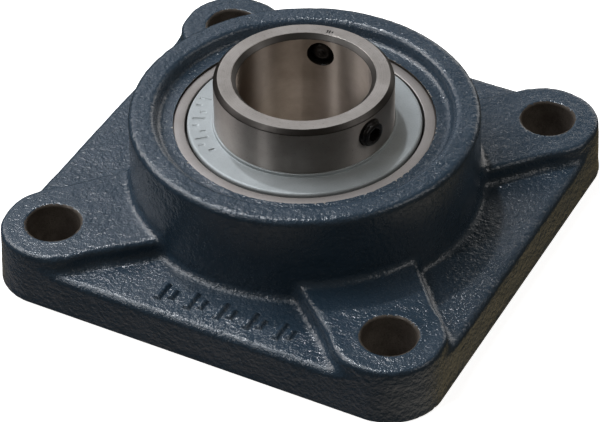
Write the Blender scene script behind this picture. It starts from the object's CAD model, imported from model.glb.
import math

import bpy
import numpy as np
from mathutils import Matrix, Vector


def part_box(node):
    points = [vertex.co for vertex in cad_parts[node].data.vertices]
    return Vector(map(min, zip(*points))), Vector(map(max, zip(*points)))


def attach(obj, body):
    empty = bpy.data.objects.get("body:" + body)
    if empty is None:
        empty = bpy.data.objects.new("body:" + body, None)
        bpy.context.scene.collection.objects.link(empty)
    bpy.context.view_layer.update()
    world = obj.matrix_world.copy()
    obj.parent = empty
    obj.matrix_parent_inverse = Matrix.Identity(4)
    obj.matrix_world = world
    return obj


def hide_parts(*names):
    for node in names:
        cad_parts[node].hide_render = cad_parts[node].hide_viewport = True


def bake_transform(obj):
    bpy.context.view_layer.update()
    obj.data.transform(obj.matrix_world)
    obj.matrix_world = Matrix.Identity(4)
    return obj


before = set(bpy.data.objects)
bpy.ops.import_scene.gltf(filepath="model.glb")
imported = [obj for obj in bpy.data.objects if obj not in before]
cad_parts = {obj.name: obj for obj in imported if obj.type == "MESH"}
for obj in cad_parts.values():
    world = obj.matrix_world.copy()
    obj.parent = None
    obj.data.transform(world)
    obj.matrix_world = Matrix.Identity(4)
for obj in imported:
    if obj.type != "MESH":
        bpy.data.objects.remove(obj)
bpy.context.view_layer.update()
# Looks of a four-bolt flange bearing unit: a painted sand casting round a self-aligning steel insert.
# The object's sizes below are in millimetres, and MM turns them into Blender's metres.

MM = 0.001

# ---------------------------------------------------------------- housing sizes, mm
CENTRE_Z = 18.0              # middle of the insert, and of the sphere that it swivels on
PAST = 2.0                   # how far a cutting shape reaches past the surface that it cuts
HALF_ROOT = math.sqrt(0.5)

HOLE_AT = 41.5               # bolt holes, from the shaft's axis along X and Y
BOLT_HOLE_R = 6.0
HOLE_BREAK = 0.5             # chamfer at both ends of a bolt hole
LUG_R = 12.5
SIDE_DRAFT = 0.6             # lean of the flange's sides from the back to the pads' tops
EDGE_R = 1.1                 # round of the top edge at the pads
PANEL_EDGE_EXTRA_R = 0.6     # what that round gains at the panels
EDGE_CHANGE = (-0.5, 3.5)    # where it gains it, from a pad's wall

PAD_TOP = 13.6
PAD_HALF_AT_HOLE = 12.3
PAD_HALF_AT_BOSS = 13.7
PAD_LUG_MARGIN = 0.35        # how far a pad's round end is wider than the lug
PAD_LUG_FILLET = 0.8
PAD_EDGE_R = 1.3
PANEL_TOP = 9.6
PANEL_WALL_DRAFT = 0.5
PANEL_FOOT_FILLET = 1.6

BOSS_R = 40.0
BOSS_TAPER = 0.6
BOSS_FOOT_FILLET = 1.7
RIM_TOP = 31.0
RIM_EDGE_R = 1.5
RIM_INNER_R = 33.6           # the rim's step leans from here at the top to LAND_R on the land
LAND_R = 32.7
LAND_Z = 28.0
STEP_FOOT_FILLET = 0.9
STEP_EDGE_R = 1.1

SEAT_R = 31.08
BACK_R = 32.6                # recess in the back
BACK_DEPTH = 5.5
BACK_CHAMFER = 0.8
CONE_R = 29.37               # where the cone above the recess meets the seat
CONE_Z = 8.0
BACK_EDGE_R = 0.25
CUT_EDGE_R = 0.12            # break of the edges that the machining leaves
NOTCH_HALF = 9.7             # notches that the insert is loaded through
NOTCH_R = 31.15
PIN_SLOT_HALF = 1.1
PIN_SLOT_R = 32.3
PIN_SLOT_END = 19.9

NIPPLE_Z = 17.5
NIPPLE_FACE_Y = 41.4
NIPPLE_PAD_R = 5.6
NIPPLE_PAD_ROOT_Y = 30.0
NIPPLE_PAD_FILLET = 0.8
GREASE_HOLE_R = 1.5
TAPPED_R = 3.0
TAPPED_FROM_Y = 35.0

MARK_START = -9.5
MARK_STEP = 7.2
MARK_COUNT = 5
MARK_Y = -46.8
MARK_HEIGHTS = (5.6, 3.2)    # the left and the right bar of a pair
MARK_WIDTH = 1.7
MARK_GAP = 0.9
MARK_RELIEF = 0.9
MARK_TOP_R = 0.85
MARK_FOOT_FILLET = 0.45
MARK_SKIRT = 0.7             # how far the skirt reaches out from a bar, and down from the panel
MARK_LOW_XY = (-14, -51)
MARK_HIGH_XY = (24, -43)

RELIEF = ((0.08, 9.0), (0.05, 3.1), (0.04, 1.3))     # height and size of the casting's lumps
RELIEF_SINK = 0.10           # keeps the lumps inside the casting's size
RELIEF_REACH = 1.2

GRID = 0.55                  # cell of the casting's mesh
MARK_GRID = 0.24


# ---------------------------------------------------------------- meshes
def add_object(name, mesh, body, replaced=()):
    """A piece that rides on a body and the CAD nodes that it replaces."""
    piece = bpy.data.objects.new(name, mesh)
    bpy.context.scene.collection.objects.link(piece)
    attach(piece, body)
    if replaced:
        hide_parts(*replaced)
    return piece


def new_mesh(name, points_mm, faces, smooth_angle=35):
    """A smooth-shaded mesh from points in millimetres; edges sharper than smooth_angle stay sharp."""
    mesh = bpy.data.meshes.new(name)
    mesh.from_pydata((np.asarray(points_mm) * MM).tolist(), [], [list(map(int, f)) for f in faces])
    mesh.polygons.foreach_set("use_smooth", [True] * len(mesh.polygons))
    mesh.set_sharp_from_angle(angle=math.radians(smooth_angle))
    mesh.update()
    return mesh


def gradient(field, p, step=0.01):
    """Gradient of a field at points, from differences over a small step."""
    g = np.empty_like(p)
    for axis in range(3):
        shift = np.zeros(3)
        shift[axis] = step
        g[:, axis] = (field(*(p + shift).T) - field(*(p - shift).T)) / (2 * step)
    return g


GRID_OFFSET = 1.37           # cells before the box, so that no grid plane lies on a flat face
CROSSING_STEP = 0.3          # furthest that a crossing is corrected, in cells
PULL_TO_MEAN = 0.08          # weight of the crossings' mean, which settles flat and straight places
POINT_REACH = 0.55           # furthest that a point lies from its cell's centre, in cells
UPPER_TRIANGLE = ((0, 0), (0, 1), (0, 2), (1, 1), (1, 2), (2, 2))


def contour(field, low, high, cell):
    """Dual contouring of field = 0, positive outside: points and quads, with sharp edges kept.

    Each cell that the surface crosses gets the point that lies nearest to the surface's tangent planes
    at the crossings on the cell's edges.
    """
    start = [v - GRID_OFFSET * cell for v in low]
    axes = [np.arange(s, v + 2 * cell, cell) for s, v in zip(start, high)]
    values = field(*np.meshgrid(*axes, indexing="ij"))
    inside = values < 0
    corner_count = sum(
        inside[i:i - 1 or None, j:j - 1 or None, k:k - 1 or None].astype(np.int8)
        for i in (0, 1) for j in (0, 1) for k in (0, 1)
    )
    active = (corner_count > 0) & (corner_count < 8)
    index = np.full(active.shape, -1, np.int64)
    index[active] = np.arange(active.sum())
    count = int(active.sum())
    sums = np.zeros((13, count))
    quads = []
    for axis in range(3):
        lower = [slice(None)] * 3
        upper = [slice(None)] * 3
        lower[axis] = slice(None, -1)
        upper[axis] = slice(1, None)
        f0 = values[tuple(lower)]
        f1 = values[tuple(upper)]
        at = np.argwhere((f0 < 0) != (f1 < 0))
        f0 = f0[tuple(at.T)]
        f1 = f1[tuple(at.T)]
        t = f0 / (f0 - f1)
        p = np.array(start) + at * cell
        p[:, axis] += t * cell
        slope = (f1 - f0) / cell
        p[:, axis] -= np.clip(field(*p.T) / slope, -CROSSING_STEP * cell, CROSSING_STEP * cell)
        n = gradient(field, p)
        n /= np.linalg.norm(n, axis=1)[:, None] + 1e-9
        rows = [n[:, i] * n[:, j] for i, j in UPPER_TRIANGLE]
        rows += [*(n * (n * p).sum(1)[:, None]).T, *p.T, np.ones(len(p))]
        u, v = (axis + 1) % 3, (axis + 2) % 3
        ring = []
        for du, dv in ((1, 1), (0, 1), (0, 0), (1, 0)):
            cells = at.copy()
            cells[:, u] -= du
            cells[:, v] -= dv
            ring.append(index[tuple(cells.T)])
        for members in ring:
            for i, row in enumerate(rows):
                sums[i] += np.bincount(members, row, count)
        ring = np.stack(ring, 1)
        flip = f0 > 0
        ring[flip] = ring[flip][:, ::-1]
        quads.append(ring)
    mean = (sums[9:12] / sums[12]).T
    a = np.empty((count, 3, 3))
    for (i, j), row in zip(UPPER_TRIANGLE, sums[:6]):
        a[:, i, j] = a[:, j, i] = row
    b = sums[6:9].T - (a @ mean[:, :, None])[:, :, 0]
    a += np.eye(3) * PULL_TO_MEAN
    points = mean + np.linalg.solve(a, b[:, :, None])[:, :, 0]
    centre = np.array(start) + (np.argwhere(active) + 0.5) * cell
    points = centre + np.clip(points - centre, -POINT_REACH * cell, POINT_REACH * cell)
    return points, np.concatenate(quads)


# ---------------------------------------------------------------- distance fields
def joined(a, b, r):
    """Union of two solids with a fillet of radius r in the corner between them."""
    u = np.maximum(r - a, 0)
    v = np.maximum(r - b, 0)
    return np.maximum(r, np.minimum(a, b)) - np.hypot(u, v)


def common(a, b, r):
    """Intersection of two solids with a rounded edge of radius r."""
    u = np.maximum(r + a, 0)
    v = np.maximum(r + b, 0)
    return np.minimum(-r, np.maximum(a, b)) + np.hypot(u, v)


def without(a, b, r):
    """The first solid less the second, with the cut's edge rounded to radius r."""
    return common(a, -b, r)


def smooth_step(low, high, x):
    """0 below low, 1 above high, and a smooth rise between them."""
    t = np.clip((x - low) / (high - low), 0, 1)
    return t * t * (3 - 2 * t)


LATTICE_SIDE = 32
LATTICE = np.random.RandomState(7).rand(LATTICE_SIDE, LATTICE_SIDE, LATTICE_SIDE)


def lumps(x, y, z, size):
    """Smooth random field between -1 and 1, with lumps of a given size."""
    parts = [np.floor(v / size).astype(int) for v in (x, y, z)]
    rests = [v / size - p for v, p in zip((x, y, z), parts)]
    weights = [r * r * (3 - 2 * r) for r in rests]
    total = 0
    for corner in range(8):
        bits = [corner >> i & 1 for i in range(3)]
        w = 1
        for bit, weight in zip(bits, weights):
            w = w * (weight if bit else 1 - weight)
        total = total + w * LATTICE[tuple((p + bit) % LATTICE_SIDE for p, bit in zip(parts, bits))]
    return 2 * total - 1


def casting_relief(x, y, z, body):
    """The gentle unevenness of a sand casting, only where the surface is near."""
    relief = np.zeros_like(body)
    near = np.abs(body) < RELIEF_REACH
    p = [v[near] for v in (x, y, z)]
    relief[near] = sum(height * lumps(*p, size) for height, size in RELIEF) - RELIEF_SINK
    return relief


def flange_field(x, y, z):
    """The flange: a rounded square with drafted sides, and a pad that runs from each lug to the boss."""
    ax, ay = np.abs(x), np.abs(y)
    qx, qy = ax - HOLE_AT, ay - HOLE_AT
    outline = np.hypot(np.maximum(qx, 0), np.maximum(qy, 0)) + np.minimum(np.maximum(qx, qy), 0) - LUG_R
    side = outline + SIDE_DRAFT * z / PAD_TOP
    wall_lean = PANEL_WALL_DRAFT * (z - PANEL_TOP) / (PAD_TOP - PANEL_TOP)
    along = (ax + ay) * HALF_ROOT
    across = np.abs(ay - ax) * HALF_ROOT
    hole_r = HOLE_AT * math.sqrt(2)
    slope = (PAD_HALF_AT_BOSS - PAD_HALF_AT_HOLE) / (hole_r - BOSS_R - 1)
    band = (across - PAD_HALF_AT_HOLE - slope * (hole_r - along)) / math.hypot(1, slope)
    band = np.maximum(band, along - hole_r)
    lug = np.hypot(qx, qy) - LUG_R - PAD_LUG_MARGIN
    pad = joined(band, lug, PAD_LUG_FILLET) + wall_lean
    top = joined(common(pad, z - PAD_TOP, PAD_EDGE_R), z - PANEL_TOP, PANEL_FOOT_FILLET)
    edge_r = EDGE_R + PANEL_EDGE_EXTRA_R * smooth_step(*EDGE_CHANGE, pad)
    return common(side, top, edge_r)


def mark_field(x, y, z):
    """Pairs of plain raised bars on the -Y panel, with a skirt that lies just under the panel's skin."""
    bars = np.full_like(x, np.inf)
    for i in range(MARK_COUNT):
        for side, height in zip((-1, 1), MARK_HEIGHTS):
            centre = MARK_START + MARK_STEP * i + side * (MARK_WIDTH + MARK_GAP) / 2
            bar = np.maximum(np.abs(x - centre) - MARK_WIDTH / 2 + 0.05, np.abs(y - MARK_Y) - height / 2)
            bars = np.minimum(bars, bar)
    skirt = np.maximum(bars - MARK_SKIRT, z - PANEL_TOP + 0.04)
    raised = common(bars, z - PANEL_TOP - MARK_RELIEF + 0.05, MARK_TOP_R)
    body = joined(raised, skirt, MARK_FOOT_FILLET)
    body = body - casting_relief(x, y, z, body)
    return np.maximum(body, PANEL_TOP - MARK_SKIRT - z)


def cast_marks():
    low = (*MARK_LOW_XY, PANEL_TOP - 0.8)
    high = (*MARK_HIGH_XY, PANEL_TOP + 1.2)
    points, quads = contour(mark_field, low, high, MARK_GRID)
    mesh = new_mesh("cast_marks", points, quads, 60)
    return add_object("cast_marks", mesh, "housing")


def void_field(x, y, z, r):
    """Everything machined away: seat, back recess, bolt holes, notches, pin slot and grease hole."""
    seat = np.sqrt(r * r + (z - CENTRE_Z) ** 2) - SEAT_R
    cone_x, cone_z = BACK_R - CONE_R, CONE_Z - BACK_DEPTH
    cone = ((r - BACK_R) * cone_z + (z - BACK_DEPTH) * cone_x) / math.hypot(cone_x, cone_z)
    back = np.minimum(np.maximum(r - BACK_R, cone), (r + z - BACK_R - BACK_CHAMFER) * HALF_ROOT)
    void = np.minimum(seat, np.maximum(back, z - CONE_Z))
    hole = np.hypot(np.abs(x) - HOLE_AT, np.abs(y) - HOLE_AT) - BOLT_HOLE_R
    low = (hole - HOLE_BREAK + z) * HALF_ROOT
    high = np.maximum((hole - HOLE_BREAK + PAD_TOP - z) * HALF_ROOT, z - PAD_TOP - PAST)
    void = np.minimum(void, np.minimum(hole, np.minimum(low, high)))
    notch = np.maximum(np.abs(x + y) * HALF_ROOT - NOTCH_HALF, np.maximum(r - NOTCH_R, z - CENTRE_Z))
    slot = np.where(z > PIN_SLOT_END, np.hypot(y, z - PIN_SLOT_END), np.abs(y)) - PIN_SLOT_HALF
    slot = np.maximum(np.maximum(slot, r - PIN_SLOT_R), -x)
    from_nipple = np.hypot(x, z - NIPPLE_Z)
    grease = np.maximum(from_nipple - GREASE_HOLE_R, np.maximum(-y, y - NIPPLE_FACE_Y - PAST))
    tapped = np.maximum(from_nipple - TAPPED_R, TAPPED_FROM_Y - y)
    return np.minimum(np.minimum(void, notch), np.minimum(slot, np.minimum(grease, tapped)))


def housing_field(x, y, z):
    """The whole casting: flange, boss and nipple pad, less the rim's step and what is machined away."""
    r = np.hypot(x, y)
    wall = r - BOSS_R + BOSS_TAPER * z / RIM_TOP
    boss = common(wall, z - RIM_TOP, RIM_EDGE_R)
    body = joined(flange_field(x, y, z), boss, BOSS_FOOT_FILLET)
    pad_ends = np.maximum(y - NIPPLE_FACE_Y, NIPPLE_PAD_ROOT_Y - y)
    pad = np.maximum(np.hypot(x, z - NIPPLE_Z) - NIPPLE_PAD_R, pad_ends)
    body = joined(body, pad, NIPPLE_PAD_FILLET)
    step = (RIM_INNER_R - LAND_R) / (RIM_TOP - LAND_Z)
    recess = common(r - LAND_R - step * (z - LAND_Z), LAND_Z - z, STEP_FOOT_FILLET)
    body = without(body, recess, STEP_EDGE_R)
    void = void_field(x, y, z, r)
    rough = smooth_step(0.0, 1.5, z) * smooth_step(-0.2, 1.6, void)
    body = body - casting_relief(x, y, z, body) * rough
    body = common(body, -z, BACK_EDGE_R)
    return without(body, void, CUT_EDGE_R)


def inside_box(points, low, high):
    """Points kept inside the CAD's box, in millimetres."""
    return np.clip(points, np.array(low) / MM, np.array(high) / MM)


def housing():
    half = HOLE_AT + LUG_R
    points, quads = contour(housing_field, (-half, -half, 0), (half, half, RIM_TOP), GRID)
    points = inside_box(points, *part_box("housing"))
    mesh = new_mesh("housing_casting", points, quads, 50)
    return add_object("housing_casting", mesh, "housing", ["housing"])


def unit(v):
    return v / np.linalg.norm(v)


def rounded(corners, steps=5):
    """Closed outline from (r, z, rounding) corners, with an arc at each rounded corner."""
    points = []
    for i, (r, z, rounding) in enumerate(corners):
        here = np.array([r, z], float)
        if not rounding:
            points.append(here)
            continue
        a = unit(np.array(corners[i - 1][:2], float) - here)
        b = unit(np.array(corners[(i + 1) % len(corners)][:2], float) - here)
        half = math.acos(max(-1, min(1, float(a @ b)))) / 2
        centre = here + unit(a + b) * rounding / math.sin(half)
        start = here + a * rounding / math.tan(half) - centre
        end = here + b * rounding / math.tan(half) - centre
        sweep = math.pi - 2 * half
        for t in np.linspace(0, 1, steps + 1):
            turned = math.sin((1 - t) * sweep) * start + math.sin(t * sweep) * end
            points.append(centre + turned / math.sin(sweep))
    return np.array(points)


def arc_points(centre_r, centre_z, radius, start, end, steps):
    """Corners without rounding along an arc, from one angle to another in degrees."""
    angles = np.radians(np.linspace(start, end, steps + 1))
    return [(centre_r + radius * math.cos(a), centre_z + radius * math.sin(a), 0) for a in angles]


SEGMENTS = 96                # facets round small turned pieces


def lathe(outline, segments, reshape=None):
    """Points and quads of a closed outline (r, z), turned anticlockwise, full circle about Z."""
    outline = np.asarray(outline)[:, :2]
    count = len(outline)
    angle = np.arange(segments) * 2 * math.pi / segments
    r = np.repeat(outline[:, 0][None], segments, 0)
    z = np.repeat(outline[:, 1][None], segments, 0)
    a = np.repeat(angle[:, None], count, 1)
    if reshape:
        r, z = reshape(r, z, a)
    points = np.stack([r * np.cos(a), r * np.sin(a), z], 2).reshape(-1, 3)
    i, j = np.meshgrid(np.arange(segments), np.arange(count), indexing="ij")
    i2, j2 = (i + 1) % segments, (j + 1) % count
    quads = np.stack([i * count + j, i2 * count + j, i2 * count + j2, i * count + j2], 2).reshape(-1, 4)
    area = (outline[:, 0] * np.roll(outline[:, 1], -1) - np.roll(outline[:, 0], -1) * outline[:, 1]).sum()
    return points, quads if area > 0 else quads[:, ::-1]


def spun(rings, segments=SEGMENTS, hollow=False):
    """Points and faces of a solid along Z from rings of (radius, height), each a number or an array.

    A hollow solid's last ring joins its first. Any other is closed by a point on the axis at each end.
    """
    angle = np.arange(segments) * 2 * math.pi / segments
    points = [] if hollow else [(0, 0, float(np.mean(rings[0][1])))]
    first = len(points)
    for r, z in rings:
        r = np.broadcast_to(r, segments)
        z = np.broadcast_to(z, segments)
        points.extend(np.stack([r * np.cos(angle), r * np.sin(angle), z], 1))
    starts = [first + ring * segments for ring in range(len(rings))]
    bands = list(zip(starts, starts[1:]))
    if hollow:
        bands.append((starts[-1], starts[0]))
    else:
        points.append((0, 0, float(np.mean(rings[-1][1]))))
    faces = []
    for k in range(segments):
        n = (k + 1) % segments
        faces += [(a + k, a + n, b + n, b + k) for a, b in bands]
        if not hollow:
            faces += [(0, first + n, first + k), (starts[-1] + k, starts[-1] + n, len(points) - 1)]
    return np.array(points, float), faces


def hexagon_radii(across_flats, segments=SEGMENTS):
    """Radius of a hexagon at each of a circle's segments."""
    angle = np.arange(segments) * 2 * math.pi / segments
    return across_flats / 2 / np.cos((angle + math.pi / 6) % (math.pi / 3) - math.pi / 6)


def placed(points, matrix):
    """Points in millimetres, moved by a matrix."""
    m = np.array(matrix)
    return np.asarray(points) @ m[:3, :3].T + m[:3, 3]


def radial_frame(degrees, r, z):
    """Matrix that takes +Z to the outward direction at an angle about the shaft's axis."""
    turn = Matrix.Rotation(math.radians(degrees), 4, "Z") @ Matrix.Rotation(math.radians(90), 4, "Y")
    out = Vector((math.cos(math.radians(degrees)), math.sin(math.radians(degrees)), 0))
    return Matrix.Translation(out * r + Vector((0, 0, z))) @ turn


def carved(mesh, cutters, smooth_angle=35):
    """The mesh with the cutters' volumes taken away, by an exact boolean."""
    host = bpy.data.objects.new("host", mesh)
    bpy.context.scene.collection.objects.link(host)
    tools = []
    for points, faces in cutters:
        tool = bpy.data.objects.new("tool", new_mesh("tool", points, faces))
        bpy.context.scene.collection.objects.link(tool)
        modifier = host.modifiers.new("cut", "BOOLEAN")
        modifier.object = tool
        modifier.operation = "DIFFERENCE"
        modifier.solver = "EXACT"
        tools.append(tool)
    bpy.context.view_layer.update()
    result = bpy.data.meshes.new_from_object(host.evaluated_get(bpy.context.evaluated_depsgraph_get()))
    for used in [host] + tools:
        bpy.data.objects.remove(used)
    result.polygons.foreach_set("use_smooth", [True] * len(result.polygons))
    result.set_sharp_from_angle(angle=math.radians(smooth_angle))
    return result


# ---------------------------------------------------------------- insert sizes, mm
INNER_R = 20.15
BORE_R = 15.0
RING_BACK = 2.1
RING_FRONT = 40.2
RING_EDGE = 1.0              # chamfer round the inner ring's front
BORE_EDGE = 1.1              # chamfers of the bore's mouths
INNER_RACE = (18.2225, 4.905)       # bottom radius and groove radius
OUTER_RACE = (27.7775, 4.953)
RACE_STEPS = 14
RING_FACETS = 288
FACE_TICKS = ((95.5, 0.7), (97.6, 1.1), (99.4, 1.1))     # angle and length
FACE_TICK_R = 17.2
FACE_TICK_WIDTH = 0.36
FACE_TICK_DEPTH = 0.05

SPHERE_R = 31.0
OUTER_HALF = 9.5             # half the outer ring's width
OUTER_EDGE_R = 0.7
OUTER_MOUTH_R = 26.8
SHOULDER_R = 25.81           # beside the ball race
SEAL_SHELF = 5.8             # the seals' grooves reach from here to SEAL_STOP, from the middle plane
SEAL_STOP = 7.5
SEAL_GROOVE_R = 27.2
GREASE_GROOVE = (-5.8, -3.8)        # low and high edge, from the middle plane
GREASE_GROOVE_R = 30.1
GREASE_DUCT_R = 0.7
GREASE_DUCT_ANGLES = (90, 270)
PIN_HOLE_R = 1.03
PIN_HOLE_BOTTOM_R = 28.9

SLINGER_Z = CENTRE_Z + 9.95  # flat face of the front flinger
SLINGER_R = 26.31
SLINGER_EDGE = 1.35          # depth of the edge turned in
SLINGER_COLLAR_R = 20.62
SLINGER_COLLAR = 0.8
SHEET = 0.75
STAMP_BAND = (21.0, 25.7)    # the part of the flat face that is meshed finely
STAMP_START = 188.0          # degrees
STAMP_STEP = 5.8
STAMP_COUNT = 9
STAMP_SPANS = ((22.3, 24.9), (22.3, 23.4), (23.8, 24.9))
STAMP_HALF = 0.16
STAMP_DEPTH = 0.22

SCREW_Z = 35.2
SCREW_ANGLES = (-17.0, 103.0)
SCREW_TIP_R = 15.6
SCREW_LENGTH = 6.0
SCREW_MAJOR_R = 2.95
SCREW_HOLE_R = 3.0
SCREW_PITCH = 1.0
SCREW_THREAD_DEPTH = 0.52
SCREW_KEY = 3.0

NIPPLE_KEY = 7.0
NIPPLE_BORE_R = 0.75
NIPPLE_CHAMBER_R = 1.1
NIPPLE_THREAD_R = 2.95
NIPPLE_THREAD_DEPTH = 0.45
SPRING_R = 0.8
SPRING_WIRE_R = 0.14
SPRING_TURNS = 5
SPRING_ENDS = (0.76, 4.5)    # from the nipple's seating face
SPRING_CLOSING = 0.095       # how much closer the turns lie at the ends


# ---------------------------------------------------------------- insert
def inner_ring():
    """Inner ring: bore, ball groove and chamfered ends, with two tapped holes and etched ticks."""
    race_bottom, groove_r = INNER_RACE
    centre_r = race_bottom + groove_r
    half = math.degrees(math.acos((centre_r - INNER_R) / groove_r))
    groove = arc_points(centre_r, CENTRE_Z, groove_r, 180 + half, 180 - half, RACE_STEPS)
    corners = [
        (BORE_R, RING_BACK + BORE_EDGE, 0.3), (BORE_R + BORE_EDGE, RING_BACK, 0.3),
        (INNER_R, RING_BACK, 0.9), *groove,
        (INNER_R, RING_FRONT - RING_EDGE, 0.4), (INNER_R - RING_EDGE, RING_FRONT, 0.4),
        (BORE_R + BORE_EDGE, RING_FRONT, 0.3), (BORE_R, RING_FRONT - BORE_EDGE, 0.3),
    ]
    points, quads = lathe(rounded(corners, 6), RING_FACETS)
    mesh = new_mesh("inner_ring_blank", points, quads)
    cutters = [screw_hole(degrees) for degrees in SCREW_ANGLES]
    cutters += [etched_tick(degrees, length) for degrees, length in FACE_TICKS]
    mesh = carved(mesh, cutters)
    return add_object("inner_ring_ground", mesh, "inner_ring", ["inner_ring"])


def screw_hole(degrees):
    """Cutter for a set screw's hole, with a countersink outside and a break in the bore."""
    inside, outside = SCREW_HOLE_R + 0.15, SCREW_HOLE_R + 0.4
    rings = [
        (inside, BORE_R - PAST), (inside, BORE_R + 0.12), (SCREW_HOLE_R, BORE_R + 0.3),
        (SCREW_HOLE_R, INNER_R - 0.45), (outside, INNER_R - 0.05), (outside, INNER_R + PAST),
    ]
    points, faces = spun(rings, 64)
    return placed(points, radial_frame(degrees, 0, SCREW_Z)), faces


def etched_tick(degrees, length):
    """Cutter for a shallow etched tick on the inner ring's front face."""
    half = np.array([length / 2, FACE_TICK_WIDTH / 2, FACE_TICK_DEPTH])
    corners = np.array([(i, j, k) for k in (-1, 1) for j in (-1, 1) for i in (-1, 1)]) * half
    faces = [(0, 2, 3, 1), (4, 5, 7, 6), (0, 1, 5, 4), (2, 6, 7, 3), (0, 4, 6, 2), (1, 3, 7, 5)]
    turn = Matrix.Rotation(math.radians(degrees), 4, "Z")
    return placed(corners, turn @ Matrix.Translation((FACE_TICK_R, 0, RING_FRONT))), faces


def outer_ring():
    """Outer ring: a sphere with a grease groove outside, the race between the seals' grooves inside."""
    bottom, groove_r = OUTER_RACE
    centre_r = bottom - groove_r
    half = math.degrees(math.acos((SHOULDER_R - centre_r) / groove_r))
    race = arc_points(centre_r, CENTRE_Z, groove_r, half, -half, RACE_STEPS)
    edge = math.degrees(math.asin(OUTER_HALF / SPHERE_R))
    edge_r = SPHERE_R * math.cos(math.radians(edge))
    low, high = (math.degrees(math.asin(z / SPHERE_R)) for z in GREASE_GROOVE)
    mouth = [
        (OUTER_MOUTH_R, OUTER_HALF, 0.25), (OUTER_MOUTH_R, SEAL_STOP + 0.1, 0), (SEAL_GROOVE_R, SEAL_STOP, 0),
        (SEAL_GROOVE_R, SEAL_SHELF, 0), (SHOULDER_R, SEAL_SHELF, 0.15),
    ]
    corners = [
        (edge_r, CENTRE_Z - OUTER_HALF, OUTER_EDGE_R),
        *arc_points(0, CENTRE_Z, SPHERE_R, -edge + 2.5, low, 8),
        (GREASE_GROOVE_R, CENTRE_Z + GREASE_GROOVE[0] + 0.2, 0),
        (GREASE_GROOVE_R, CENTRE_Z + GREASE_GROOVE[1] - 0.2, 0),
        *arc_points(0, CENTRE_Z, SPHERE_R, high, edge - 2.5, 14),
        (edge_r, CENTRE_Z + OUTER_HALF, OUTER_EDGE_R),
        *((r, CENTRE_Z + z, rounding) for r, z, rounding in mouth), *race,
        *((r, CENTRE_Z - z, rounding) for r, z, rounding in reversed(mouth)),
    ]
    points, quads = lathe(rounded(corners, 6), RING_FACETS)
    mesh = new_mesh("outer_ring_blank", points, quads)
    past_r = SPHERE_R + PAST
    pin_hole, faces = spun([(PIN_HOLE_R, PIN_HOLE_BOTTOM_R), (PIN_HOLE_R, past_r)], 40)
    cutters = [(placed(pin_hole, radial_frame(0, 0, CENTRE_Z)), faces)]
    duct, faces = spun([(GREASE_DUCT_R, INNER_R), (GREASE_DUCT_R, past_r)], 32)
    duct_z = CENTRE_Z + sum(GREASE_GROOVE) / 2
    cutters += [(placed(duct, radial_frame(degrees, 0, duct_z)), faces) for degrees in GREASE_DUCT_ANGLES]
    mesh = carved(mesh, cutters)
    return add_object("outer_ring_ground", mesh, "outer_ring", ["outer_ring"])


def mirrored(points):
    """Points mirrored in the insert's middle plane."""
    out = np.array(points)
    out[:, 2] = 2 * CENTRE_Z - out[:, 2]
    return out


def slinger_outline(dense):
    """The pressed flinger's section: a collar, a flat disc and an edge turned in."""
    z, inside = SLINGER_Z, SLINGER_R - SHEET
    flat = [(r, z, 0) for r in np.linspace(STAMP_BAND[1], STAMP_BAND[0], dense + 1)]
    return [
        (INNER_R, z - SHEET, 0), (inside, z - SHEET, 0.2), (inside, z - SLINGER_EDGE, 0.2),
        (SLINGER_R, z - SLINGER_EDGE, 0.2), (SLINGER_R, z, 0.55), *flat, (SLINGER_COLLAR_R, z, 0.15),
        (SLINGER_COLLAR_R, z + SLINGER_COLLAR, 0.18), (INNER_R, z + SLINGER_COLLAR, 0.1),
    ]


def stamped(r, z, a):
    """Generic stamped ticks, sunk into the flinger's flat face."""
    degrees = np.degrees(a)
    depth = np.zeros_like(r)
    for k in range(STAMP_COUNT):
        centre = STAMP_START + STAMP_STEP * k
        across = np.abs((degrees - centre + 180) % 360 - 180) * math.pi / 180 * r
        low, high = STAMP_SPANS[(k * 5) % len(STAMP_SPANS)]
        inside = np.maximum(across - STAMP_HALF, np.maximum(low - r, r - high))
        depth = np.maximum(depth, 1 - smooth_step(0.0, STAMP_DEPTH, inside))
    on_face = np.abs(z - SLINGER_Z) < 0.01
    return r, z - STAMP_DEPTH * depth * on_face


def slinger(side):
    """A flinger. Only the front one is stamped, so only its mesh is fine."""
    if side == "top":
        points, quads = lathe(rounded(slinger_outline(30)), 720, stamped)
    else:
        points, quads = lathe(rounded(slinger_outline(6)), 240)
        points, quads = mirrored(points), quads[:, ::-1]
    mesh = new_mesh("slinger_pressed_" + side, points, quads)
    return add_object(mesh.name, mesh, "inner_ring", ["slinger_" + side])


def seal(side):
    """The rubber moulded on a seal's core, with a bead in the outer ring's groove and lips inside."""
    bead, lip = SEAL_GROOVE_R - 0.02, INNER_R + 0.1
    section = [
        (26.0, 5.82, 0), (bead, 5.82, 0.2), (bead, 7.4, 0.3), (20.7, 7.4, 0.25), (lip, 7.1, 0), (lip, 6.8, 0),
        (20.9, 6.5, 0), (lip, 6.0, 0), (lip, 5.7, 0), (21.2, 5.9, 0), (22.0, 6.3, 0), (21.6, 6.3, 0),
        (21.6, 6.8, 0), (26.4, 6.8, 0), (26.4, 6.3, 0), (26.0, 6.3, 0),
    ]
    points, quads = lathe(rounded([(r, CENTRE_Z + z, rounding) for r, z, rounding in section]), 192)
    if side == "bottom":
        points, quads = mirrored(points), quads[:, ::-1]
    mesh = new_mesh("seal_moulded_" + side, points, quads)
    return add_object(mesh.name, mesh, "outer_ring", ["seal_rubber_" + side])


def thread_radii(z, major_r, depth, segments=SEGMENTS):
    """Radius of a right-hand thread at height z, round the circle."""
    turn = np.arange(segments) / segments
    phase = (z / SCREW_PITCH - turn) % 1
    ridge = np.clip(1.35 - 3.4 * np.abs(phase - 0.5), 0, 1)
    return major_r - depth * (1 - ridge)


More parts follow.
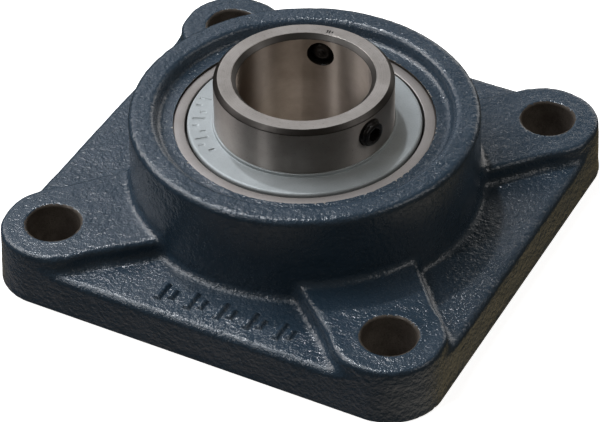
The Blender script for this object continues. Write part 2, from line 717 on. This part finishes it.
def set_screw(number):
    """Cup point screw with a thread and a hexagon socket."""
    rings = [(0.25, 0.45), (0.85, 0.06), (1.0, 0.0), (1.5, 0.0), (1.62, 0.06)]
    steps = int((SCREW_LENGTH - 0.5) / 0.1)
    for z in np.linspace(0.1, SCREW_LENGTH - 0.15, steps + 1):
        point = 1.65 + (z - 0.05) * 1.35
        tail = SCREW_MAJOR_R - 0.45 + (SCREW_LENGTH - 0.05 - z) * 1.2
        thread = thread_radii(z, SCREW_MAJOR_R, SCREW_THREAD_DEPTH)
        rings.append((np.minimum(thread, min(point, SCREW_MAJOR_R, tail)), z))
    hexagon = hexagon_radii(SCREW_KEY)
    socket = [
        (2.32, 0.04), (2.2, 0), (1.86, 0), (1.80, 0.02), (np.minimum(hexagon + 0.06, 1.78), 0.1),
        (hexagon, 0.25), (hexagon, 2.35), (hexagon * 0.94, 2.4), (0.3, 2.75),
    ]
    rings += [(r, SCREW_LENGTH - depth) for r, depth in socket]
    points, faces = spun(rings)
    turn = Matrix.Rotation(math.radians(20 * number), 4, "Z")
    matrix = radial_frame(SCREW_ANGLES[number - 1], SCREW_TIP_R, SCREW_Z) @ turn
    mesh = new_mesh("set_screw_threaded_%d" % number, placed(points, matrix), faces, 40)
    return add_object(mesh.name, mesh, "set_screw_%d" % number, ["set_screw_%d" % number])


def nipple_frame():
    """Matrix that takes +Z to the nipple's outward direction, from its seating face."""
    return Matrix.Translation((0, NIPPLE_FACE_Y, NIPPLE_Z)) @ Matrix.Rotation(math.radians(-90), 4, "X")


def grease_nipple():
    """Nipple body: threaded shank, hexagon, neck and head, and inside a bore and the ball's chamber."""
    hexagon = hexagon_radii(NIPPLE_KEY)
    chamfered = np.minimum(hexagon, 3.72)
    rings = [(NIPPLE_BORE_R, 0.5), (NIPPLE_BORE_R, -5.5), (2.3, -5.5), (2.45, -5.35)]
    for z in np.linspace(-5.2, -0.6, 40):
        thread = thread_radii(z, NIPPLE_THREAD_R, NIPPLE_THREAD_DEPTH)
        rings.append((np.minimum(thread, 2.45 + (z + 5.35) * 1.3), z))
    rings += [
        (2.6, -0.5), (2.6, 0.0), (np.minimum(hexagon, 3.45), 0.0), (chamfered, 0.12), (hexagon, 0.42),
        (hexagon, 1.98), (chamfered, 2.26), (np.minimum(hexagon, 3.4), 2.4), (2.5, 2.4), (2.36, 2.5),
        (2.35, 3.1), (2.5, 3.35), (3.1, 3.9), (3.2, 4.0), (3.2, 4.5), (3.1, 4.66), (1.95, 6.25), (1.75, 6.38),
        (1.35, 6.4), (1.2, 6.34), (0.78, 6.05), (NIPPLE_BORE_R, 5.9), (1.08, 5.55), (NIPPLE_CHAMBER_R, 0.6),
        (NIPPLE_BORE_R, 0.6),
    ]
    points, faces = spun(rings, hollow=True)
    mesh = new_mesh("grease_nipple_turned", placed(points, nipple_frame()), faces, 30)
    return add_object(mesh.name, mesh, "housing", ["grease_nipple"])


def nipple_spring():
    """Coil spring with closed ends. Its outer end moves with the check ball."""
    steps, sides = 48 * SPRING_TURNS, 12
    low, high = SPRING_ENDS
    share = np.linspace(0, 1, steps + 1)
    eased = share - SPRING_CLOSING * np.sin(2 * math.pi * share)
    turn = 2 * math.pi * SPRING_TURNS * share[:, None]
    round_wire = 2 * math.pi * np.arange(sides) / sides
    reach = SPRING_R + SPRING_WIRE_R * np.cos(round_wire)
    height = low + (high - low) * eased[:, None] + SPRING_WIRE_R * np.sin(round_wire)
    points = np.stack([reach * np.cos(turn), reach * np.sin(turn), height], axis=2).reshape(-1, 3)
    faces = []
    for a in range(0, steps * sides, sides):
        for k in range(sides):
            n = (k + 1) % sides
            faces.append((a + n, a + k, a + sides + k, a + sides + n))
    faces.append(tuple(range(sides)))
    faces.append(tuple(steps * sides + k for k in reversed(range(sides))))
    mesh = new_mesh("nipple_spring_coiled", placed(points, nipple_frame()), faces, 40)
    piece = bpy.data.objects.new("nipple_spring_coiled", mesh)
    bpy.context.scene.collection.objects.link(piece)
    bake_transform(piece)
    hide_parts("nipple_spring")
    return piece


# ---------------------------------------------------------------- materials
def add_node(tree, kind, inputs=None, **settings):
    """A shader node, its inputs set to values or linked to sockets."""
    node = tree.nodes.new("ShaderNode" + kind)
    for key, value in settings.items():
        setattr(node, key, value)
    for key, value in (inputs or {}).items():
        if isinstance(value, bpy.types.NodeSocket):
            tree.links.new(value, node.inputs[key])
        else:
            node.inputs[key].default_value = value
    return node


def maths(tree, operation, a, b=0.0):
    """The result of one sum on numbers or sockets."""
    return add_node(tree, "Math", {0: a, 1: b}, operation=operation).outputs[0]


def noise(tree, where, size, detail=3.0, roughness=0.5):
    """Noise with grains of a size in millimetres."""
    inputs = {"Vector": where, "Scale": 1 / (size * MM), "Detail": detail, "Roughness": roughness}
    return add_node(tree, "TexNoise", inputs).outputs[0]


def ramp(tree, factor, low, high, to_low=0.0, to_high=1.0, smooth=True):
    """A number spread from one range to another, held at both ends."""
    inputs = {0: factor, 1: low, 2: high, 3: to_low, 4: to_high}
    kind = "SMOOTHSTEP" if smooth else "LINEAR"
    return add_node(tree, "MapRange", inputs, interpolation_type=kind).outputs[0]


def mix(tree, factor, a, b):
    """One colour turning into another as the factor goes from 0 to 1."""
    def colour(v):
        return v if isinstance(v, bpy.types.NodeSocket) else (*v, 1)
    return add_node(tree, "Mix", {0: factor, 6: colour(a), 7: colour(b)}, data_type="RGBA").outputs[2]


def grainy(tree, grain, low, high):
    """A number that follows a noise's middle range, such as a roughness."""
    return ramp(tree, grain, 0.3, 0.7, low, high)


def darker(colour, share):
    return tuple(share * v for v in colour)


def round_axis(tree, where):
    """Distance from the shaft's axis, and height along it."""
    x, y, z = add_node(tree, "SeparateXYZ", {0: where}).outputs
    squares = [maths(tree, "MULTIPLY", v, v) for v in (x, y)]
    return maths(tree, "SQRT", maths(tree, "ADD", *squares)), z


def bump(tree, height, depth, normal=None, strength=1.0):
    """Bump whose full height is depth millimetres."""
    inputs = {"Strength": strength, "Distance": depth * MM, "Height": height}
    if normal:
        inputs["Normal"] = normal
    return add_node(tree, "Bump", inputs).outputs[0]


def new_material(name, metallic, **constants):
    """A material and its node tree, coordinate socket and shader."""
    material = bpy.data.materials.new(name)
    material.use_nodes = True
    tree = material.node_tree
    shader = tree.nodes["Principled BSDF"]
    shader.inputs["Metallic"].default_value = metallic
    for key, value in constants.items():
        shader.inputs[key.replace("_", " ")].default_value = value
    where = tree.nodes.new("ShaderNodeTexCoord").outputs["Object"]
    return material, tree, where, shader


def finish_shader(tree, shader, colour, roughness, normal):
    tree.links.new(colour, shader.inputs["Base Color"])
    tree.links.new(roughness, shader.inputs["Roughness"])
    tree.links.new(normal, shader.inputs["Normal"])


def paint():
    """Enamel over the grain of a sand casting, coarser below the pads' tops than on them and above."""
    material, tree, where, shader = new_material("painted_iron", 0.0, Specular_IOR_Level=0.62)
    grain = noise(tree, where, 1.0, 3.0, 0.55)
    fine = noise(tree, where, 0.42, 2.0, 0.5)
    patches = noise(tree, where, 14.0, 4.0, 0.6)
    scuffs = noise(tree, where, 3.2, 8.0, 0.75)
    cells = {"Vector": where, "Scale": 1 / (1.5 * MM), "Randomness": 1.0}
    pits = add_node(tree, "TexVoronoi", cells).outputs[0]
    colour = mix(tree, ramp(tree, patches, 0.3, 0.72), (0.0205, 0.0395, 0.062), (0.028, 0.049, 0.0745))
    colour = mix(tree, ramp(tree, grain, 0.56, 0.74, 0.0, 0.4), colour, (0.058, 0.075, 0.094))
    colour = mix(tree, ramp(tree, scuffs, 0.70, 0.78, 0.0, 0.2), colour, (0.10, 0.12, 0.14))
    roughness = maths(tree, "ADD", grainy(tree, fine, 0.13, 0.25), grainy(tree, patches, 0.0, 0.06))
    height = add_node(tree, "SeparateXYZ", {0: where}).outputs[2]
    coarse = ramp(tree, height, (PAD_TOP - 1.8) * MM, (PAD_TOP - 0.4) * MM, 1.15, 0.8)
    normal = bump(tree, grain, 0.21, strength=coarse)
    normal = bump(tree, ramp(tree, pits, 0.0, 0.45), 0.05, normal)
    normal = bump(tree, fine, 0.075, normal)
    finish_shader(tree, shader, colour, roughness, normal)
    return material


def bare_iron(name, light, dark, line, depth, metallic=0.85, rough=0.36):
    """Machined cast iron with tool marks and a thin stain of oil and rust."""
    material, tree, where, shader = new_material(name, metallic, Specular_IOR_Level=0.5)
    stain = noise(tree, where, 5.0, 5.0, 0.65)
    grain = noise(tree, where, 0.35, 3.0, 0.6)
    reach, height = round_axis(tree, where)
    waver = maths(tree, "MULTIPLY", stain, 0.0006)
    turned = add_node(tree, "CombineXYZ", {0: reach, 1: height, 2: waver}).outputs[0]
    marks = noise(tree, turned, line, 2.0, 0.5)
    colour = mix(tree, ramp(tree, stain, 0.35, 0.68), light, dark)
    colour = mix(tree, ramp(tree, grain, 0.52, 0.7, 0.0, 0.5), colour, darker(dark, 0.35))
    stained = ramp(tree, stain, 0.4, 0.7, 0.0, 0.12)
    roughness = maths(tree, "ADD", grainy(tree, grain, rough, rough + 0.16), stained)
    normal = bump(tree, marks, depth)
    normal = bump(tree, grain, 0.02, normal)
    finish_shader(tree, shader, colour, roughness, normal)
    return material


def turned_steel(name, light, dark, rough, line=0.16, depth=0.0012, anisotropy=0.0, stain=0.5, tint=0.14):
    """Ground or turned steel: fine lines that run round the axis, with faint stains."""
    material, tree, where, shader = new_material(name, 1.0)
    if anisotropy:
        shader.inputs["Anisotropic"].default_value = anisotropy
        shader.inputs["Anisotropic Rotation"].default_value = 0.25
        tangent = add_node(tree, "Tangent", direction_type="RADIAL", axis="Z")
        tree.links.new(tangent.outputs[0], shader.inputs["Tangent"])
    reach, height = round_axis(tree, where)
    cloud = noise(tree, where, 7.0, 4.0, 0.6)
    speck = noise(tree, where, 0.5, 3.0, 0.6)
    lines_at = add_node(tree, "CombineXYZ", {0: reach, 1: height, 2: 0.0}).outputs[0]
    lines = noise(tree, lines_at, line, 3.0, 0.6)
    colour = mix(tree, grainy(tree, cloud, 0.0, 1.0), light, dark)
    colour = mix(tree, ramp(tree, speck, 0.58, 0.76, 0.0, stain), colour, darker(dark, 0.5))
    colour = mix(tree, ramp(tree, lines, 0.35, 0.65, 0.0, tint), colour, darker(dark, 0.62))
    brushed = grainy(tree, lines, rough - 0.04, rough + 0.05)
    roughness = maths(tree, "ADD", brushed, grainy(tree, cloud, -0.02, 0.04))
    normal = bump(tree, lines, depth)
    normal = bump(tree, speck, 0.006, normal)
    finish_shader(tree, shader, colour, roughness, normal)
    return material


def zinc():
    """Dull plating with a mottled grain and faint scratches."""
    material, tree, where, shader = new_material("zinc_steel", 0.35)
    cloud = noise(tree, where, 6.0, 5.0, 0.6)
    grain = noise(tree, where, 0.45, 3.0, 0.6)
    stretch = {"Vector": where, "Rotation": (0.2, 0.3, 0.7), "Scale": (0.06, 1.0, 1.0)}
    scratches = noise(tree, add_node(tree, "Mapping", stretch).outputs[0], 0.35, 2.0, 0.5)
    colour = mix(tree, grainy(tree, cloud, 0.0, 1.0), (0.415, 0.452, 0.468), (0.365, 0.398, 0.412))
    colour = mix(tree, ramp(tree, grain, 0.5, 0.72, 0.0, 0.35), colour, (0.285, 0.312, 0.325))
    scratched = ramp(tree, scratches, 0.6, 0.75, 0.0, 0.1)
    roughness = maths(tree, "ADD", grainy(tree, grain, 0.48, 0.60), scratched)
    normal = bump(tree, grain, 0.012)
    normal = bump(tree, scratches, 0.006, normal)
    finish_shader(tree, shader, colour, roughness, normal)
    return material


def black_oxide():
    """Oiled black finish."""
    material, tree, where, shader = new_material("black_steel", 0.6)
    cloud = noise(tree, where, 1.6, 4.0, 0.6)
    grain = noise(tree, where, 0.18, 2.0, 0.5)
    colour = mix(tree, ramp(tree, cloud, 0.35, 0.7), (0.013, 0.012, 0.012), (0.028, 0.025, 0.023))
    colour = mix(tree, ramp(tree, grain, 0.62, 0.75, 0.0, 0.4), colour, (0.12, 0.10, 0.09))
    roughness = grainy(tree, grain, 0.26, 0.42)
    normal = bump(tree, grain, 0.006)
    normal = bump(tree, cloud, 0.01, normal)
    finish_shader(tree, shader, colour, roughness, normal)
    return material


def rubber():
    """Moulded nitrile rubber, brown-black."""
    material, tree, where, shader = new_material("seal_rubber", 0.0, Specular_IOR_Level=0.4)
    cloud = noise(tree, where, 3.0, 4.0, 0.6)
    grain = noise(tree, where, 0.2, 3.0, 0.6)
    colour = mix(tree, grainy(tree, cloud, 0.0, 1.0), (0.022, 0.018, 0.018), (0.036, 0.028, 0.026))
    colour = mix(tree, ramp(tree, grain, 0.6, 0.8, 0.0, 0.4), colour, (0.07, 0.06, 0.055))
    roughness = grainy(tree, grain, 0.5, 0.68)
    normal = bump(tree, grain, 0.01)
    finish_shader(tree, shader, colour, roughness, normal)
    return material


PAINT = paint()
RING_STEEL = turned_steel("ring_steel", (0.42, 0.39, 0.37), (0.35, 0.322, 0.302), 0.36, anisotropy=1.0)
FACE_STEEL = turned_steel("face_steel", (0.44, 0.42, 0.405), (0.38, 0.36, 0.345), 0.80)
RACE_STEEL = turned_steel("race_steel", (0.34, 0.32, 0.31), (0.29, 0.27, 0.26), 0.46)
EDGE_STEEL = turned_steel("edge_steel", (0.065, 0.061, 0.058), (0.05, 0.046, 0.044), 0.36)
MOUTH_STEEL = turned_steel("mouth_steel", (0.10, 0.096, 0.092), (0.078, 0.074, 0.071), 0.42)
BORE_STEEL = turned_steel(
    "bore_steel", (0.52, 0.465, 0.42), (0.42, 0.365, 0.32), 0.38,
    depth=0.0004, anisotropy=1.0, stain=0.2, tint=0.04,
)
BALL_STEEL = turned_steel(
    "ball_steel", (0.66, 0.66, 0.66), (0.58, 0.58, 0.58), 0.08, line=0.5, depth=0.001, stain=0.1
)
CAGE_STEEL = turned_steel("cage_steel", (0.48, 0.46, 0.43), (0.40, 0.38, 0.35), 0.30, line=0.6)
RIVET_STEEL = turned_steel("rivet_steel", (0.42, 0.41, 0.39), (0.34, 0.33, 0.31), 0.34, line=0.4)
SPRING_STEEL = turned_steel("spring_steel", (0.45, 0.45, 0.45), (0.36, 0.36, 0.36), 0.25, line=0.4)
ZINC = zinc()
BLACK = black_oxide()
RUBBER = rubber()
BORED_IRON = bare_iron("bored_iron", (0.085, 0.072, 0.060), (0.055, 0.044, 0.035), 0.5, 0.03, 0.35, 0.6)
MACHINED_IRON = bare_iron("machined_iron", (0.36, 0.34, 0.31), (0.24, 0.215, 0.185), 0.9, 0.02)
CAD_FINISHES = {             # by the start of a node's name; the first that fits
    "ball_": BALL_STEEL, "cage_rivets": RIVET_STEEL, "cage_": CAGE_STEEL, "seal_core": CAGE_STEEL,
    "stop_pin": RIVET_STEEL, "nipple_ball": BALL_STEEL,
}


def coat(piece, *materials):
    """Give a piece its materials, in place of any that it has."""
    piece.data.materials.clear()
    for material in materials:
        piece.data.materials.append(material)


def face_data(mesh):
    """Centres in millimetres and normals of a mesh's faces."""
    count = len(mesh.polygons)
    centres = np.empty(count * 3)
    normals = np.empty(count * 3)
    mesh.polygons.foreach_get("center", centres)
    mesh.polygons.foreach_get("normal", normals)
    return centres.reshape(-1, 3) / MM, normals.reshape(-1, 3)


def paint_housing(piece):
    """Paint outside, machined iron on the back and the seat, drilled iron in the bolt holes."""
    coat(piece, PAINT, MACHINED_IRON, BORED_IRON)
    centres, normals = face_data(piece.data)
    x, y, z = centres.T
    r = np.hypot(x, y)
    seat = np.sqrt(r ** 2 + (z - CENTRE_Z) ** 2) < SEAT_R + CUT_EDGE_R
    back = (z < CUT_EDGE_R) & (normals[:, 2] < -0.9)
    recess = (r < BACK_R + BACK_CHAMFER + 0.1) & (z < CONE_Z + 1)
    notch = (r < NOTCH_R + 0.2) & (z < LAND_Z - 0.3)
    hole = np.hypot(np.abs(x) - HOLE_AT, np.abs(y) - HOLE_AT) < BOLT_HOLE_R + HOLE_BREAK - 0.08
    which = np.select([hole, seat | back | recess | notch], [2, 1], 0)
    piece.data.polygons.foreach_set("material_index", which.astype(np.int32))


def finish_inner_ring(piece):
    """Ground outside, turned on the front, dark on the edges and the bore's mouths, black in the holes."""
    coat(piece, RING_STEEL, BLACK, EDGE_STEEL, MOUTH_STEEL, FACE_STEEL, BORE_STEEL)
    centres, normals = face_data(piece.data)
    z = centres[:, 2]
    r = np.hypot(centres[:, 0], centres[:, 1])
    tick = (np.abs(z - RING_FRONT + 0.04) < 0.02) & (normals[:, 2] > 0.9)
    tick &= (r > BORE_R + 0.8) & (r < INNER_R - 1.5)
    hole = np.zeros(len(centres), bool)
    for degrees in SCREW_ANGLES:
        out = np.array([math.cos(math.radians(degrees)), math.sin(math.radians(degrees)), 0])
        along = centres @ out
        off = np.linalg.norm(centres - np.outer(along, out) - (0, 0, SCREW_Z), axis=1)
        hole |= (along > 0) & (off < SCREW_HOLE_R + 0.14) & (r > BORE_R + 0.05) & (r < INNER_R - 0.2)
    edge = (z > RING_FRONT - RING_EDGE - 0.1) & (r > INNER_R - RING_EDGE - 0.02)
    mouth = (np.abs(normals[:, 2]) > 0.2) & (r < BORE_R + BORE_EDGE - 0.05)
    face = (normals[:, 2] > 0.9) & (z > RING_FRONT - 0.2)
    bore = r < BORE_R + 0.05
    which = np.select([tick | hole, edge, mouth, face, bore], [1, 2, 3, 4, 5], 0)
    piece.data.polygons.foreach_set("material_index", which.astype(np.int32))


paint_housing(housing())
coat(cast_marks(), PAINT)
finish_inner_ring(inner_ring())
coat(outer_ring(), RACE_STEEL)
for side in ("top", "bottom"):
    coat(slinger(side), ZINC)
    coat(seal(side), RUBBER)
for number in (1, 2):
    coat(set_screw(number), BLACK)
coat(grease_nipple(), ZINC)
coat(nipple_spring(), SPRING_STEEL)
for name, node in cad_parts.items():
    for start, finish in CAD_FINISHES.items():
        if name.startswith(start):
            coat(node, finish)
            break

# ---------------------------------------------------------------- camera, floor and lights, metres
CAMERA_AT = (0.231940, -0.432314, 0.411634)
CAMERA_TURN = (50.08734, 0.96408, 27.57935)      # degrees about X, Y and Z
LENS = 167.3                 # millimetres, on a sensor 36 mm wide
FLOOR_HALF = 12.0
FLOOR_DROP = 0.0003

FLOOR_LEFT = (0.16, 0.145, 0.14)
FLOOR_RIGHT = (0.35, 0.32, 0.28)
FLOOR_BACK = (0.16, 0.125, 0.06)
ROOM = (0.08, 0.07, 0.055)
LIGHTS = (                   # name, azimuth, elevation, distance, width and height, radiance
    ("left", 270, 40, 1.5, (1.0, 0.65), (4.6, 4.5, 4.5)),
    ("left_high", 270, 66, 1.5, (0.7, 0.6), (4.0, 4.2, 4.4)),
    ("right", 104, 40, 1.5, (0.6, 0.7), (2.0, 1.95, 1.9)),
    ("front_left", 332, 45, 1.5, (0.07, 0.5), (24.0, 24.0, 24.0)),
    ("back_left", 229, 31, 1.45, (0.9, 0.6), (0.9, 0.95, 1.05)),
    ("back_low", 180, 15, 1.5, (1.1, 0.6), (1.75, 1.7, 1.65)),
    ("spark", 231, 62, 1.4, (0.07, 0.07), (300.0, 304.0, 312.0)),
)


def camera():
    """The camera, at the photograph's viewing angle."""
    data = bpy.data.cameras.new("camera")
    data.sensor_width = 36
    data.lens = LENS
    data.clip_start = 0.05
    data.clip_end = 50
    eye = bpy.data.objects.new("camera", data)
    bpy.context.scene.collection.objects.link(eye)
    eye.location = CAMERA_AT
    eye.rotation_euler = [math.radians(v) for v in CAMERA_TURN]
    bpy.context.scene.camera = eye


def floor():
    """A plain pale floor, clear from underneath. It doesn't show in the object's reflections."""
    mesh = bpy.data.meshes.new("floor")
    corners = [(x * FLOOR_HALF, y * FLOOR_HALF, -FLOOR_DROP) for x, y in ((-1, -1), (1, -1), (1, 1), (-1, 1))]
    mesh.from_pydata(corners, [], [(0, 1, 2, 3)])
    piece = bpy.data.objects.new("floor", mesh)
    bpy.context.scene.collection.objects.link(piece)
    material, tree, _, shader = new_material("floor_white", 0.0, Roughness=0.9)
    shader.inputs["Base Color"].default_value = (0.82, 0.82, 0.82, 1)
    shader.inputs["Emission Color"].default_value = (1, 1, 1, 1)
    shader.inputs["Emission Strength"].default_value = 0.85
    clear = add_node(tree, "BsdfTransparent").outputs[0]
    under = tree.nodes.new("ShaderNodeNewGeometry").outputs["Backfacing"]
    both = add_node(tree, "MixShader", {0: under, 1: shader.outputs[0], 2: clear}).outputs[0]
    tree.links.new(both, tree.nodes["Material Output"].inputs["Surface"])
    mesh.materials.append(material)
    piece.visible_diffuse = False
    piece.visible_glossy = False
    piece.visible_shadow = False


def softbox(name, azimuth, elevation, distance, size, radiance):
    """A square-on soft light; azimuth 0 is on the -Y side and 90 on the +X side."""
    across, over = math.radians(azimuth), math.radians(elevation)
    away = Vector((math.sin(across) * math.cos(over), -math.cos(across) * math.cos(over), math.sin(over)))
    data = bpy.data.lights.new(name, "AREA")
    data.shape = "RECTANGLE"
    data.size, data.size_y = size
    peak = max(radiance)
    data.energy = math.pi * size[0] * size[1] * peak
    data.color = [v / peak for v in radiance]
    lamp = bpy.data.objects.new(name, data)
    bpy.context.scene.collection.objects.link(lamp)
    lamp.location = away * distance
    lamp.rotation_mode = "QUATERNION"
    lamp.rotation_quaternion = away.to_track_quat("Z", "Y")


def surroundings():
    """A dim room over the floor, and a floor that shines warmly from the right and the back."""
    world = bpy.data.worlds.new("world")
    world.use_nodes = True
    tree = world.node_tree
    direction = tree.nodes.new("ShaderNodeTexCoord").outputs["Generated"]
    x, y, z = add_node(tree, "SeparateXYZ", {0: direction}).outputs
    below = mix(tree, ramp(tree, x, -0.3, 0.8), FLOOR_LEFT, FLOOR_RIGHT)
    below = mix(tree, ramp(tree, y, 0.0, 0.8), below, FLOOR_BACK)
    nearness = ramp(tree, z, -0.75, -0.5, 2.0, 0.25)
    below = add_node(tree, "VectorMath", {0: below, "Scale": nearness}, operation="SCALE").outputs[0]
    colour = mix(tree, ramp(tree, z, -0.35, 0.05), below, ROOM)
    tree.links.new(colour, tree.nodes["Background"].inputs["Color"])
    bpy.context.scene.world = world


camera()
floor()
for light in LIGHTS:
    softbox(*light)
surroundings()
bpy.context.scene.view_settings.view_transform = "Standard"
